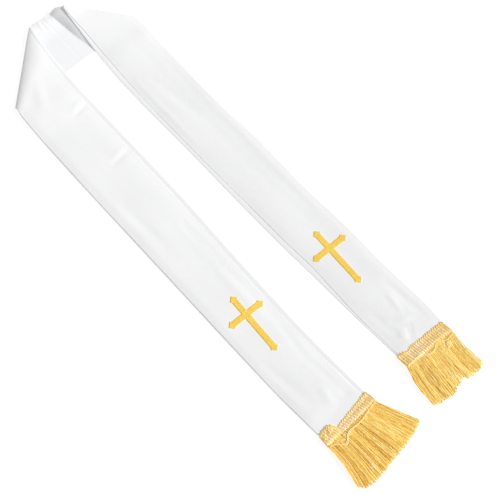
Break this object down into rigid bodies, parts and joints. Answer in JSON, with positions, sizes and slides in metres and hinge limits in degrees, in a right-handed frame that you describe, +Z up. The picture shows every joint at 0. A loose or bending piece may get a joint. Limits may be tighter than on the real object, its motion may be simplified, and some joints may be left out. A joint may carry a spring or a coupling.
{
  "type": "clerical stole",
  "caption": "Long lined satin strip, mitre-folded at the neck and laid flat, with an embroidered cross above each fringed end.",
  "frame": {"origin": "on the surface the stole lies on, under the middle of its box", "axes": "+Y from the fringed ends towards the neck band, +X across the panels to the wearer's left when worn, +Z up from the surface"},
  "size_m": [0.3422, 1.181, 0.0183],
  "materials": {
    "satin": "white polyester satin, soft sheen",
    "lining": "white lining satin, cooler and duller",
    "embroidery": "gold-yellow rayon stitching",
    "fringe_gold": "golden chainette fringe with a braided heading"
  },
  "bodies": {
    "root": {"left_front": "satin", "left_lining": "lining", "left_cross": "embroidery", "left_fringe": "fringe_gold", "right_front": "satin", "right_lining": "lining", "right_cross": "embroidery", "right_fringe": "fringe_gold"}
  },
  "joints": []
}
